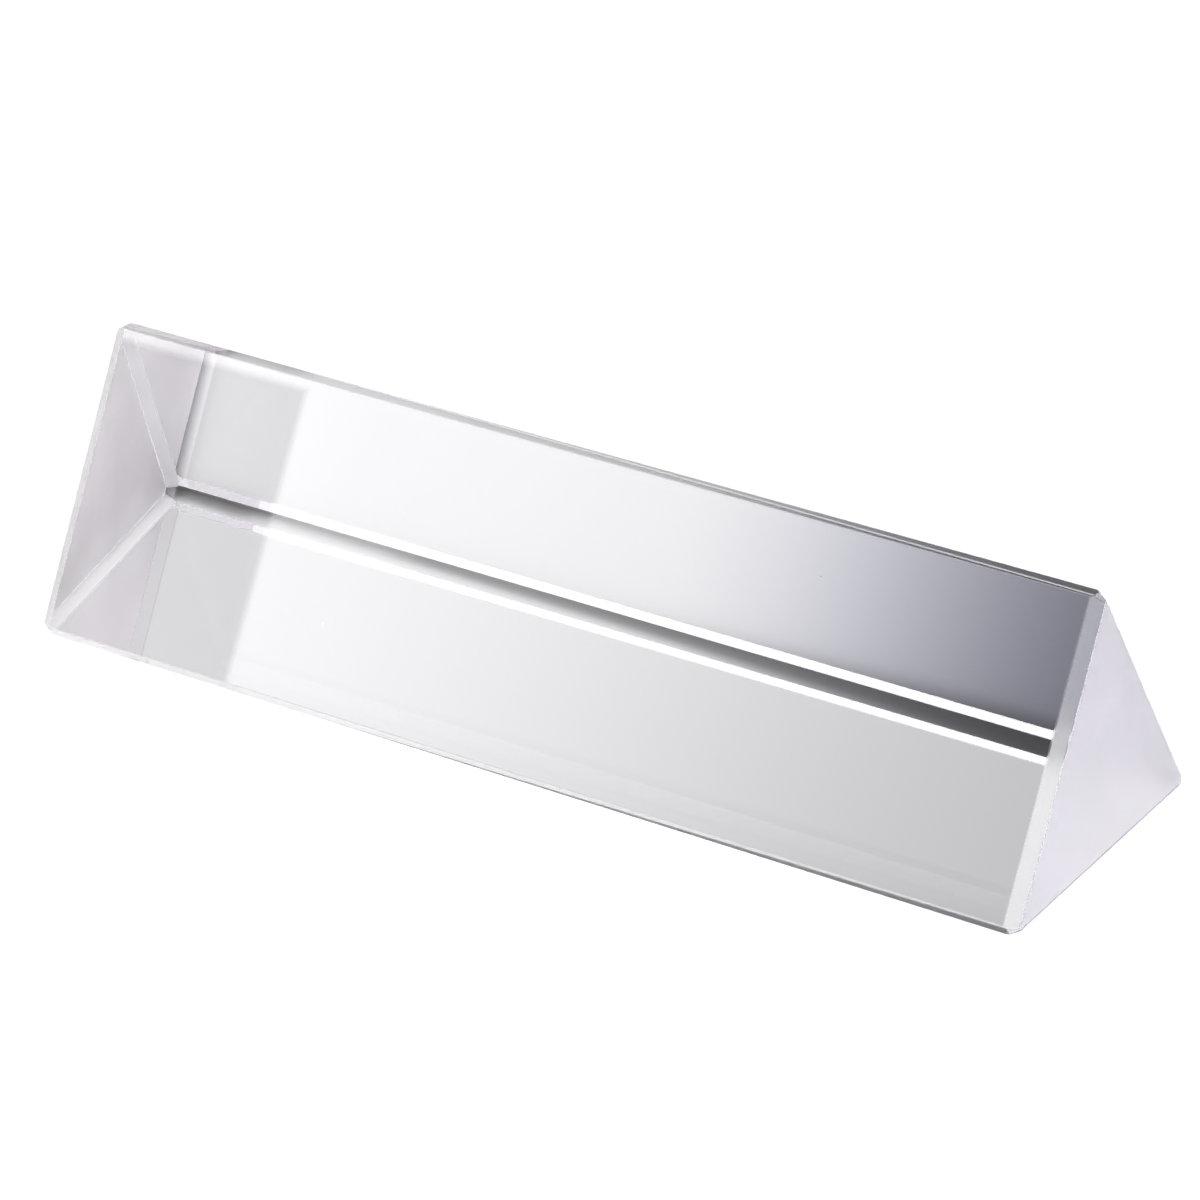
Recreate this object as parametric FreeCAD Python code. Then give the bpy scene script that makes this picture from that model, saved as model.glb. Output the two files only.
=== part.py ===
"""Equilateral glass prism: three polished long faces, fine-ground ends, and bevels all round.

Millimetres and degrees. The prism lies on one long face. +X runs along its length, +Z up,
and the origin is the middle of the face that it lies on.
"""
import FreeCAD, Part
import math
import os

Vector = FreeCAD.Vector

# Driving dimensions
length = 100.0             # from end face to end face
base_width = 30.0          # width of the lower face, measured to its sharp corners
apex_angle = 60.0          # refracting angle, at the upper edge
apex_facet_width = 1.3     # flat ground along the upper long edge
near_facet_width = 1.3     # flat ground along the near lower long edge
far_facet_width = 1.5      # flat ground along the far lower long edge
end_bevel_along = 1.15     # end bevel's leg along the prism's length
end_bevel_across = 0.7     # end bevel's leg across the end face
corner_facet_along = 0.9   # corner facet's leg along the prism's length
corner_facet_across = 0.55 # corner facet's leg across the end face

# Triangular section in the YZ plane, with sharp corners
half_width = base_width / 2
height = half_width / math.tan(math.radians(apex_angle / 2))
base_angle = (180.0 - apex_angle) / 2
near_corner = Vector(0, -half_width, 0)
far_corner = Vector(0, half_width, 0)
apex_corner = Vector(0, 0, height)


def unit(vector):
    return vector / vector.Length


def outward_of_side(start, end):
    """Outward normal of the polished face that stands on one side of the section."""
    along = unit(end - start)
    return Vector(0, along.z, -along.y)


def glass_blank():
    """Triangular bar with sharp edges, as sawn and polished before any edge is bevelled."""
    outline = Part.makePolygon([near_corner, far_corner, apex_corner, near_corner])
    outline.translate(Vector(-length / 2, 0, 0))
    return Part.Face(outline).extrude(Vector(length, 0, 0))


def ground(block, point, outward):
    """Grind the block down to the plane through a point: what lies outward of it goes."""
    reach = 2 * (length + base_width + height)
    lap = Part.makeBox(reach, reach, reach, Vector(-reach / 2, -reach / 2, 0))
    lap.Placement = FreeCAD.Placement(point, FreeCAD.Rotation(Vector(0, 0, 1), outward))
    return block.cut(lap)


def long_facet(corner, first_side, second_side, angle, width):
    """Point and outward normal of the flat that is ground along one long edge."""
    outward = unit(first_side + second_side)
    depth = (width / 2) / math.tan(math.radians(angle / 2))
    return corner - outward * depth, outward


def end_bevel(block, point, outward, leg_along, leg_across):
    """Bevel both ends of a long face or flat, which lies at a point with an outward normal."""
    for end in (Vector(-1, 0, 0), Vector(1, 0, 0)):
        start = point + end * (length / 2 - leg_along)
        slope = unit(end * leg_across + outward * leg_along)
        block = ground(block, start, slope)
    return block


def glass_prism():
    """The finished block: three polished faces, two end faces and all their bevels."""
    base_side = outward_of_side(near_corner, far_corner)
    far_side = outward_of_side(far_corner, apex_corner)
    near_side = outward_of_side(apex_corner, near_corner)
    polished_sides = [
        (near_corner, base_side),
        (far_corner, far_side),
        (apex_corner, near_side),
    ]
    facets = [
        long_facet(apex_corner, far_side, near_side, apex_angle, apex_facet_width),
        long_facet(near_corner, near_side, base_side, base_angle, near_facet_width),
        long_facet(far_corner, base_side, far_side, base_angle, far_facet_width),
    ]
    block = glass_blank()
    for point, outward in facets:
        block = ground(block, point, outward)
    for point, outward in polished_sides:
        block = end_bevel(block, point, outward, end_bevel_along, end_bevel_across)
    for point, outward in facets:
        block = end_bevel(block, point, outward, corner_facet_along, corner_facet_across)
    return block


os.makedirs("parts", exist_ok=True)
glass_prism().exportStep("parts/glass_prism.step")
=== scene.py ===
import math
from collections import namedtuple

import bmesh
import bpy
from bpy.props import FloatProperty, FloatVectorProperty, PointerProperty
from mathutils import Matrix, Vector


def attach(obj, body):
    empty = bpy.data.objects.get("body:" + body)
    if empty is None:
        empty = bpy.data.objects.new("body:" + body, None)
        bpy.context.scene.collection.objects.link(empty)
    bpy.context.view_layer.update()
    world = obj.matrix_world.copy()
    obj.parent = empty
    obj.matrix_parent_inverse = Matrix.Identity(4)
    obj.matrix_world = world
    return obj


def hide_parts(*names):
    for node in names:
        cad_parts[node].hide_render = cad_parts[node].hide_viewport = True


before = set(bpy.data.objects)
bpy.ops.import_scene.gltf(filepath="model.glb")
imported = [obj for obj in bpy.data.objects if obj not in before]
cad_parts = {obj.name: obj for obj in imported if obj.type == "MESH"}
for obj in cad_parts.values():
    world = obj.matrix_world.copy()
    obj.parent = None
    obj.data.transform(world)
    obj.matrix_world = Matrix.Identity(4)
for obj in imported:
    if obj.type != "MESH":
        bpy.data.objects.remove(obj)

bl_info = {
    "name": "Glass Prism Studio",
    "version": (1, 0, 0),
    "blender": (4, 5, 0),
    "location": "View3D > Sidebar > Prism",
    "description": "Dresses a solid glass prism and lights it on a pale table",
    "category": "Object",
}

NODE = "glass_prism"
BODY = "root"
FINISH_ATTRIBUTE = "finish"

# Corners of the CAD part nearer than this are one, and faces turned by less than this are one
SAME_PLACE = 1e-6
SAME_TURN = math.radians(1.0)
# Cosine above which two directions count as one
SAME_DIRECTION = 0.99999

# The two polished faces that look upwards have normals this far from straight up
LONG_FACE_LEAN = math.radians(60.0)
LEAN_TOLERANCE = 0.001

# Surface detail per metre of glass: grain of the grinding, uneven patches, cells for dust
GRAIN_SCALE = 5200.0
PATCH_SCALE = 160.0
DUST_SCALE = 230.0
NOISE_DETAIL = 2.0
# Most of a noise lies between these two values
NOISE_RANGE = (0.3, 0.7)
# What grain and patches do to the roughness, as shares of it, at the ends of that range
GRAIN_SHARE = (0.94, 1.03)
PATCH_SHARE = (-0.06, 0.1)
# A speck fades out between these distances from the middle of its cell, in cell widths
SPECK_RIM = (0.018, 0.01)
SPECK_CHANCE = 0.12
SPECK_ROUGHNESS = 0.8
RELIEF_STRENGTH = 0.1
RELIEF_HEIGHT = 0.00001

# Thin air gap under the block, as between any two dry flat surfaces
AIR_GAP = 0.00005
TABLE_REACH = 6.0

KEY_DIRECTION = (0.62, -1.0, 0.9)
KEY_ANGLE = math.radians(6.0)

# The light that the glass gathers on the table. It changes along the block, from 0 at the left
# end to 1 at the right, and across it, from 0 at the near side to 1 at the far side. Each change
# says where it starts and ends, and the value at both.
GLOW_SIZE = (0.1, 0.0287)
GLOW_HEIGHT = 0.0008
GLOW_TURN = math.radians(-1.0)
GLOW_LEFT_GAIN = (0.0, 0.2, 1.12, 1.0)
GLOW_LEFT_EDGE = (0.0, 0.006, 0.0, 1.0)
GLOW_RIGHT_FADE = (0.5, 1.0, 1.0, 0.2)
GLOW_RED_AND_GREEN = (0.5, 1.0, 1.0, 0.78)
# Along the far edge the light is lost near both ends, by the shares given
GLOW_FAR_EDGE = (0.955, 0.975, 0.0, 1.0)
GLOW_LOSS_LEFT = (0.1, 0.07, 0.0, 0.78)
GLOW_LOSS_RIGHT = (0.45, 0.9, 0.0, 0.7)

# Two small lamps, one outside the right end face and one that stands for light inside the glass
END_LIGHT_COLOUR = (1.0, 0.93, 0.97)
SIDE_LIGHT_SIZE = (0.006, 0.03)
SIDE_LIGHT_PLACE = (0.066, 0.0, 0.007)
INNER_LIGHT_SIZE = (0.016, 0.016)
INNER_LIGHT_PLACE = (-0.022, 0.0, 0.009)

# Soft boxes round the table, which only the glass shows. Angles are in degrees: azimuth from +Y
# towards +X, elevation above the table, half width, half height and the width of the soft rim.
# A negative strength is a dark card.
Panel = namedtuple("Panel", "azimuth elevation half_width half_height rim strength")
FRONT_LEFT_BOX = Panel(-130.0, 28.0, 20.0, 16.0, 12.0, 0.38)
REAR_CARD = Panel(-20.0, 22.0, 4.0, 12.0, 16.0, -0.25)
REAR_RIGHT_CARD = Panel(34.0, 30.0, 14.0, 12.0, 14.0, -0.12)
PANELS = (FRONT_LEFT_BOX, REAR_CARD, REAR_RIGHT_CARD)
AMBIENT = 0.76
# A panel lights only directions whose cosine to its middle is above this
PANEL_AHEAD = 0.05

# The box that the near face mirrors. It fades to one side, and a straight edge ends it on the
# other, through the two directions given. Above a second edge it goes on past the first.
MIRRORED_BOX = Panel(-130.0, 26.0, 12.5, 16.0, 9.0, 5.5)
MIRRORED_EDGE = ((-143.34, 22.9), (-144.27, 19.89))
MIRRORED_TOP = ((-141.24, 22.29), (-143.18, 22.82))
MIRRORED_BLUR = 0.001
MIRRORED_AMBIENT = 0.2

# How often light may bounce before it is given up, enough for the long ways through the glass
LIGHT_BOUNCES = 24

SENSOR_WIDTH = 36.0

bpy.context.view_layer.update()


class PrismGlassSettings(bpy.types.PropertyGroup):
    """Finish of the glass block."""

    arris_width: FloatProperty(
        name="Arris Width",
        description="Width of the tiny rounding left where two worked surfaces meet",
        default=0.00015,
        unit="LENGTH",
        subtype="DISTANCE",
    )
    end_roughness: FloatProperty(
        name="End Roughness",
        description="Fine-ground surface of the two end faces",
        default=0.58,
        min=0.0,
        max=1.0,
    )
    bevel_roughness: FloatProperty(
        name="Bevel Roughness",
        description="Fine-ground surface of the bevels and of the corner facets",
        default=0.44,
        min=0.0,
        max=1.0,
    )
    edge_facet_roughness: FloatProperty(
        name="Edge Facet Roughness",
        description="Nearly polished surface of the narrow facets on the long edges",
        default=0.05,
        min=0.0,
        max=1.0,
    )
    arris_roughness: FloatProperty(
        name="Arris Roughness",
        description="Worn rounding between two worked surfaces",
        default=0.2,
        min=0.0,
        max=1.0,
    )
    matt_share: FloatProperty(
        name="Matt Share",
        description="Part of the light that the end faces scatter as matt white; bevels less",
        default=0.1,
        min=0.0,
        max=1.0,
    )
    refractive_index: FloatProperty(
        name="Refractive Index",
        description="Of common crown glass",
        default=1.517,
        min=1.0,
        max=2.5,
    )
    body_tint: FloatVectorProperty(
        name="Body Tint",
        description="Colour that white light takes on through a long way of glass",
        default=(0.937, 0.923, 1.0),
        subtype="COLOR",
        min=0.0,
        max=1.0,
    )
    tint_density: FloatProperty(
        name="Tint Density",
        description="How strongly the body tint acts, per metre of glass",
        default=10.0,
        min=0.0,
    )


class PrismStudioSettings(bpy.types.PropertyGroup):
    """Table, light and camera."""

    table_colour: FloatVectorProperty(
        name="Table Colour",
        description="Pale table top",
        default=(0.86, 0.86, 0.87),
        subtype="COLOR",
        min=0.0,
        max=1.0,
    )
    key_strength: FloatProperty(
        name="Key Strength",
        description="Soft light from the camera's side",
        default=6.6,
        min=0.0,
    )
    glow_power: FloatProperty(
        name="Glow Power",
        description="Light that the glass lets through to the table, brightest at the left",
        default=0.0077,
        unit="POWER",
        min=0.0,
    )
    side_power: FloatProperty(
        name="Side Power",
        description="Small low light beside the right end face",
        default=0.0005,
        unit="POWER",
        min=0.0,
    )
    inner_power: FloatProperty(
        name="Inner Power",
        description="Light that the glass brings to the inside of the left end face",
        default=0.036,
        unit="POWER",
        min=0.0,
    )
    camera_azimuth: FloatProperty(
        name="Camera Azimuth",
        description="Turn of the camera from the front, towards the prism's right end",
        default=math.radians(34.66),
        subtype="ANGLE",
    )
    camera_elevation: FloatProperty(
        name="Camera Elevation",
        description="Height of the camera above the horizon",
        default=math.radians(28.78),
        subtype="ANGLE",
    )
    camera_roll: FloatProperty(
        name="Camera Roll",
        description="Turn of the picture about the line of sight",
        default=math.radians(-2.13),
        subtype="ANGLE",
    )
    camera_distance: FloatProperty(
        name="Camera Distance",
        description="From the camera to the point it aims at",
        default=0.480,
        unit="LENGTH",
        subtype="DISTANCE",
    )
    camera_aim: FloatVectorProperty(
        name="Camera Aim",
        description="Point in the middle of the picture",
        default=(0.0001, 0.00107, 0.01016),
        subtype="XYZ",
        unit="LENGTH",
    )
    camera_lens: FloatProperty(
        name="Camera Lens",
        description="Focal length in millimetres on a 36 mm picture",
        default=168.0,
        min=1.0,
    )


def add_node(tree, kind, inputs=(), **settings):
    """Add a shader node, set its properties, and feed its sockets numbers or other sockets."""
    node = tree.nodes.new(kind)
    for name, value in settings.items():
        setattr(node, name, value)
    for socket, value in dict(inputs).items():
        if isinstance(value, bpy.types.NodeSocket):
            tree.links.new(value, node.inputs[socket])
        else:
            node.inputs[socket].default_value = value
    return node


def calculate(tree, operation, first, second=0.0):
    """Add a Math node and return its result."""
    node = add_node(tree, "ShaderNodeMath", {0: first, 1: second}, operation=operation)
    return node.outputs["Value"]


def ramp(tree, value, start, end, low=0.0, high=1.0):
    """Go smoothly from low to high while the value goes from start to end."""
    node = add_node(
        tree,
        "ShaderNodeMapRange",
        {"Value": value, "From Min": start, "From Max": end, "To Min": low, "To Max": high},
        interpolation_type="SMOOTHSTEP",
    )
    return node.outputs["Result"]


def glass_material(settings):
    """Clear crown glass, as rough as the mesh's finish attribute says, with grain and dust."""
    material = bpy.data.materials.new("crown_glass")
    material.use_nodes = True
    tree = material.node_tree
    tree.nodes.clear()
    place = add_node(tree, "ShaderNodeTexCoord").outputs["Object"]
    finish = add_node(
        tree, "ShaderNodeAttribute", attribute_type="GEOMETRY", attribute_name=FINISH_ATTRIBUTE
    ).outputs["Fac"]

    grain, patches = (
        add_node(
            tree,
            "ShaderNodeTexNoise",
            {"Vector": place, "Scale": scale, "Detail": NOISE_DETAIL},
        ).outputs["Fac"]
        for scale in (GRAIN_SCALE, PATCH_SCALE)
    )
    unevenness = calculate(
        tree,
        "ADD",
        ramp(tree, grain, *NOISE_RANGE, *GRAIN_SHARE),
        ramp(tree, patches, *NOISE_RANGE, *PATCH_SHARE),
    )
    ground = calculate(tree, "MULTIPLY", finish, unevenness)

    cells = add_node(
        tree, "ShaderNodeTexVoronoi", {"Vector": place, "Scale": DUST_SCALE}, feature="F1"
    )
    chance = add_node(tree, "ShaderNodeSeparateColor", {"Color": cells.outputs["Color"]})
    speck = ramp(tree, cells.outputs["Distance"], *SPECK_RIM)
    rare = calculate(tree, "GREATER_THAN", chance.outputs["Red"], 1.0 - SPECK_CHANCE)
    dust = calculate(tree, "MULTIPLY", calculate(tree, "MULTIPLY", speck, rare), SPECK_ROUGHNESS)
    roughness = calculate(tree, "MAXIMUM", ground, dust)

    matt = calculate(tree, "MULTIPLY", finish, settings.matt_share / settings.end_roughness)
    matt = calculate(tree, "MAXIMUM", matt, dust)
    clear = calculate(tree, "SUBTRACT", 1.0, matt)
    relief = add_node(
        tree,
        "ShaderNodeBump",
        {
            "Strength": calculate(tree, "MULTIPLY", finish, RELIEF_STRENGTH),
            "Distance": RELIEF_HEIGHT,
            "Height": grain,
        },
    ).outputs["Normal"]
    shader = add_node(
        tree,
        "ShaderNodeBsdfPrincipled",
        {
            "Base Color": (1.0, 1.0, 1.0, 1.0),
            "Transmission Weight": clear,
            "IOR": settings.refractive_index,
            "Roughness": roughness,
            "Normal": relief,
        },
    ).outputs["BSDF"]
    absorption = add_node(
        tree,
        "ShaderNodeVolumeAbsorption",
        {"Color": (*settings.body_tint, 1.0), "Density": settings.tint_density},
    ).outputs["Volume"]
    add_node(tree, "ShaderNodeOutputMaterial", {"Surface": shader, "Volume": absorption})
    return material


def surface_finish(settings, normal):
    """Roughness of the worked surface that faces this way."""
    if abs(normal.x) > SAME_DIRECTION:
        return settings.end_roughness
    if abs(normal.x) > 1.0 - SAME_DIRECTION:
        return settings.bevel_roughness
    leans = abs(abs(normal.y) - math.sin(LONG_FACE_LEAN)) < LEAN_TOLERANCE
    if leans and normal.z > 0.0 or normal.z < -SAME_DIRECTION:
        return 0.0
    return settings.edge_facet_roughness


class PRISM_OT_dress_block(bpy.types.Operator):
    """Build the finished glass block on the shape of the CAD part"""

    bl_idname = "prism.dress_block"
    bl_label = "Dress Glass Block"

    def execute(self, context):
        settings = context.scene.prism_glass
        block = bmesh.new()
        block.from_mesh(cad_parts[NODE].data)
        bmesh.ops.remove_doubles(block, verts=block.verts, dist=SAME_PLACE)
        bmesh.ops.dissolve_limit(
            block, angle_limit=SAME_TURN, verts=block.verts, edges=block.edges
        )
        worked = [face.normal.copy() for face in block.faces]
        bmesh.ops.bevel(
            block,
            geom=block.edges[:],
            affect="EDGES",
            offset=settings.arris_width / 2,
            offset_type="OFFSET",
            segments=2,
            profile=0.5,
            material=-1,
        )
        bmesh.ops.recalc_face_normals(block, faces=block.faces)
        finish = block.faces.layers.float.new(FINISH_ATTRIBUTE)
        for face in block.faces:
            face.smooth = False
            if any(face.normal.dot(normal) > SAME_DIRECTION for normal in worked):
                face[finish] = surface_finish(settings, face.normal)
            else:
                face[finish] = settings.arris_roughness
        mesh = bpy.data.meshes.new("polished_block")
        block.to_mesh(mesh)
        block.free()
        mesh.attributes.remove(mesh.attributes["custom_normal"])
        piece = bpy.data.objects.new("polished_block", mesh)
        context.scene.collection.objects.link(piece)
        mesh.materials.append(glass_material(settings))
        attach(piece, BODY)
        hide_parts(NODE)
        return {"FINISHED"}


def pale_material(colour):
    """Plain matt table top."""
    material = bpy.data.materials.new("pale_table")
    material.use_nodes = True
    shader = material.node_tree.nodes["Principled BSDF"]
    shader.inputs["Base Color"].default_value = (*colour, 1.0)
    shader.inputs["Roughness"].default_value = 1.0
    shader.inputs["Specular IOR Level"].default_value = 0.0
    return material


def lets_light_through(lamp):
    """The lamp's light reaches the table through the block, which casts no shadow of it."""
    clear = bpy.data.collections.new("clear_to_" + lamp.name)
    clear.objects.link(bpy.data.objects["polished_block"])
    for entry in clear.collection_objects:
        entry.light_linking.link_state = "EXCLUDE"
    lamp.light_linking.blocker_collection = clear


def hide_from_glass(lamp):
    """The lamp lights matt surfaces only, so that the block shows the dome and not the lamp."""
    lamp.visible_camera = False
    lamp.visible_glossy = False
    lamp.visible_transmission = False


def make_glow(scene, settings):
    """Light that the glass gathers on the table under it, which fades along the block."""
    light = bpy.data.lights.new("glow", "AREA")
    light.shape = "RECTANGLE"
    light.size, light.size_y = GLOW_SIZE
    light.energy = settings.glow_power
    light.use_nodes = True
    tree = light.node_tree
    tree.nodes.clear()
    spot = add_node(tree, "ShaderNodeNewGeometry").outputs["Parametric"]
    place = add_node(tree, "ShaderNodeSeparateXYZ", {"Vector": spot})
    along = place.outputs["X"]
    across = place.outputs["Y"]
    faded = ramp(tree, along, *GLOW_RIGHT_FADE)
    strength = calculate(tree, "MULTIPLY", ramp(tree, along, *GLOW_LEFT_GAIN), faded)
    strength = calculate(tree, "MULTIPLY", strength, ramp(tree, along, *GLOW_LEFT_EDGE))
    ends = calculate(
        tree, "MAXIMUM", ramp(tree, along, *GLOW_LOSS_LEFT), ramp(tree, along, *GLOW_LOSS_RIGHT)
    )
    loss = calculate(tree, "MULTIPLY", ends, ramp(tree, across, *GLOW_FAR_EDGE))
    strength = calculate(tree, "MULTIPLY", strength, calculate(tree, "SUBTRACT", 1.0, loss))
    red_green = ramp(tree, along, *GLOW_RED_AND_GREEN)
    colour = add_node(
        tree, "ShaderNodeCombineColor", {"Red": red_green, "Green": red_green, "Blue": 1.0}
    )
    emission = add_node(
        tree, "ShaderNodeEmission", {"Color": colour.outputs["Color"], "Strength": strength}
    ).outputs["Emission"]
    add_node(tree, "ShaderNodeOutputLight", {"Surface": emission})
    glow = bpy.data.objects.new("glow", light)
    glow.location = (0.0, 0.0, GLOW_HEIGHT)
    glow.rotation_euler = (0.0, 0.0, GLOW_TURN)
    scene.collection.objects.link(glow)
    hide_from_glass(glow)
    return glow


def make_end_light(scene, name, size, power, place):
    """Small light that shines along the block to the left, for an end face to scatter."""
    light = bpy.data.lights.new(name, "AREA")
    light.shape = "RECTANGLE"
    light.size, light.size_y = size
    light.energy = power
    light.color = END_LIGHT_COLOUR
    lamp = bpy.data.objects.new(name, light)
    lamp.location = place
    lamp.rotation_euler = (0.0, math.radians(90.0), 0.0)
    scene.collection.objects.link(lamp)
    hide_from_glass(lamp)


def towards(azimuth, elevation):
    """Unit vector to a point of the dome, from angles in degrees."""
    across = math.cos(math.radians(elevation))
    return Vector((
        math.sin(math.radians(azimuth)) * across,
        math.cos(math.radians(azimuth)) * across,
        math.sin(math.radians(elevation)),
    ))


def panel_light(tree, direction, panel):
    """Light of one soft box, seen in this direction."""
    centre = towards(panel.azimuth, panel.elevation)
    side = towards(panel.azimuth + 90.0, 0.0)

    def share(axis):
        node = add_node(
            tree, "ShaderNodeVectorMath", {0: direction, 1: axis}, operation="DOT_PRODUCT"
        )
        return node.outputs["Value"]

    ahead = share(centre)
    lit = calculate(tree, "GREATER_THAN", ahead, PANEL_AHEAD)
    light = calculate(tree, "MULTIPLY", lit, panel.strength)
    for axis, half in ((side, panel.half_width), (centre.cross(side), panel.half_height)):
        offset = calculate(tree, "ABSOLUTE", calculate(tree, "DIVIDE", share(axis), ahead))
        inner = math.tan(math.radians(half))
        outer = math.tan(math.radians(half + panel.rim))
        light = calculate(tree, "MULTIPLY", light, ramp(tree, offset, outer, inner))
    return light


def past_line(tree, direction, line, blur):
    """1 on one side of the line through two directions, 0 on the other, blurred between."""
    first, second = (towards(*point) for point in line)
    node = add_node(
        tree,
        "ShaderNodeVectorMath",
        {0: direction, 1: first.cross(second).normalized()},
        operation="DOT_PRODUCT",
    )
    return ramp(tree, node.outputs["Value"], -blur, blur)


def make_dome(scene):
    """White to the camera, and soft boxes to the glass."""
    world = bpy.data.worlds.new("dome")
    world.use_nodes = True
    world.cycles_visibility.diffuse = False
    scene.world = world
    tree = world.node_tree
    tree.nodes.clear()
    direction = add_node(tree, "ShaderNodeTexCoord").outputs["Generated"]
    ray = add_node(tree, "ShaderNodeLightPath")
    through = AMBIENT
    for panel in PANELS:
        through = calculate(tree, "ADD", through, panel_light(tree, direction, panel))
    beyond, above = (
        past_line(tree, direction, line, MIRRORED_BLUR) for line in (MIRRORED_EDGE, MIRRORED_TOP)
    )
    shown = calculate(tree, "MAXIMUM", beyond, above)
    mirrored = calculate(tree, "MULTIPLY", panel_light(tree, direction, MIRRORED_BOX), shown)
    mirrored = calculate(tree, "ADD", mirrored, MIRRORED_AMBIENT)
    seen = add_node(
        tree,
        "ShaderNodeMix",
        {"Factor": ray.outputs["Is Reflection Ray"], 2: through, 3: mirrored},
        data_type="FLOAT",
    ).outputs["Result"]
    strength = add_node(
        tree,
        "ShaderNodeMix",
        {"Factor": ray.outputs["Is Camera Ray"], 2: seen, 3: 1.0},
        data_type="FLOAT",
    ).outputs["Result"]
    background = add_node(
        tree, "ShaderNodeBackground", {"Color": (1.0, 1.0, 1.0, 1.0), "Strength": strength}
    ).outputs["Background"]
    add_node(tree, "ShaderNodeOutputWorld", {"Surface": background})


class PRISM_OT_set_stage(bpy.types.Operator):
    """Lay the table and set the lights, the dome and the camera"""

    bl_idname = "prism.set_stage"
    bl_label = "Set Stage"

    def execute(self, context):
        scene = context.scene
        settings = scene.prism_studio
        table = bmesh.new()
        bmesh.ops.create_grid(table, x_segments=1, y_segments=1, size=TABLE_REACH)
        bmesh.ops.translate(table, verts=table.verts, vec=(0.0, 0.0, -AIR_GAP))
        mesh = bpy.data.meshes.new("table_top")
        table.to_mesh(mesh)
        table.free()
        table_top = bpy.data.objects.new("table_top", mesh)
        scene.collection.objects.link(table_top)
        mesh.materials.append(pale_material(settings.table_colour))

        key_light = bpy.data.lights.new("key", "SUN")
        key_light.energy = settings.key_strength
        key_light.angle = KEY_ANGLE
        key = bpy.data.objects.new("key", key_light)
        key.rotation_mode = "QUATERNION"
        key.rotation_quaternion = Vector(KEY_DIRECTION).to_track_quat("Z", "Y")
        scene.collection.objects.link(key)
        hide_from_glass(key)

        lets_light_through(make_glow(scene, settings))
        make_end_light(scene, "side", SIDE_LIGHT_SIZE, settings.side_power, SIDE_LIGHT_PLACE)
        make_end_light(scene, "inner", INNER_LIGHT_SIZE, settings.inner_power, INNER_LIGHT_PLACE)
        make_dome(scene)

        scene.cycles.max_bounces = LIGHT_BOUNCES
        scene.cycles.transmission_bounces = LIGHT_BOUNCES
        scene.cycles.glossy_bounces = LIGHT_BOUNCES
        scene.cycles.caustics_reflective = False
        scene.cycles.caustics_refractive = False
        scene.view_settings.view_transform = "Standard"
        return {"FINISHED"}


class PRISM_OT_set_camera(bpy.types.Operator):
    """Put the camera at the photograph's viewing angle"""

    bl_idname = "prism.set_camera"
    bl_label = "Set Camera"

    def execute(self, context):
        settings = context.scene.prism_studio
        azimuth = settings.camera_azimuth
        elevation = settings.camera_elevation
        back = Vector((
            math.sin(azimuth) * math.cos(elevation),
            -math.cos(azimuth) * math.cos(elevation),
            math.sin(elevation),
        ))
        lens = bpy.data.cameras.new("camera")
        lens.lens = settings.camera_lens
        lens.sensor_width = SENSOR_WIDTH
        camera = bpy.data.objects.new("camera", lens)
        level = back.to_track_quat("Z", "Y").to_matrix()
        turned = level @ Matrix.Rotation(settings.camera_roll, 3, "Z")
        place = Vector(settings.camera_aim) + back * settings.camera_distance
        camera.matrix_world = Matrix.LocRotScale(place, turned.to_quaternion(), None)
        context.scene.collection.objects.link(camera)
        context.scene.camera = camera
        return {"FINISHED"}


STEPS = (PRISM_OT_dress_block, PRISM_OT_set_stage, PRISM_OT_set_camera)


class PRISM_PT_panel(bpy.types.Panel):
    """Buttons that build the prism and its studio"""

    bl_idname = "PRISM_PT_panel"
    bl_label = "Glass Prism"
    bl_space_type = "VIEW_3D"
    bl_region_type = "UI"
    bl_category = "Prism"

    def draw(self, context):
        for settings in (context.scene.prism_glass, context.scene.prism_studio):
            for name in settings.bl_rna.properties.keys():
                if name not in ("rna_type", "name"):
                    self.layout.prop(settings, name)
        for step in STEPS:
            self.layout.operator(step.bl_idname)


CLASSES = (PrismGlassSettings, PrismStudioSettings, *STEPS, PRISM_PT_panel)


def register():
    for item in CLASSES:
        bpy.utils.register_class(item)
    bpy.types.Scene.prism_glass = PointerProperty(type=PrismGlassSettings)
    bpy.types.Scene.prism_studio = PointerProperty(type=PrismStudioSettings)


def unregister():
    del bpy.types.Scene.prism_studio
    del bpy.types.Scene.prism_glass
    for item in reversed(CLASSES):
        bpy.utils.unregister_class(item)


def main():
    register()
    bpy.ops.prism.dress_block()
    bpy.ops.prism.set_stage()
    bpy.ops.prism.set_camera()


if __name__ == "__main__":
    main()
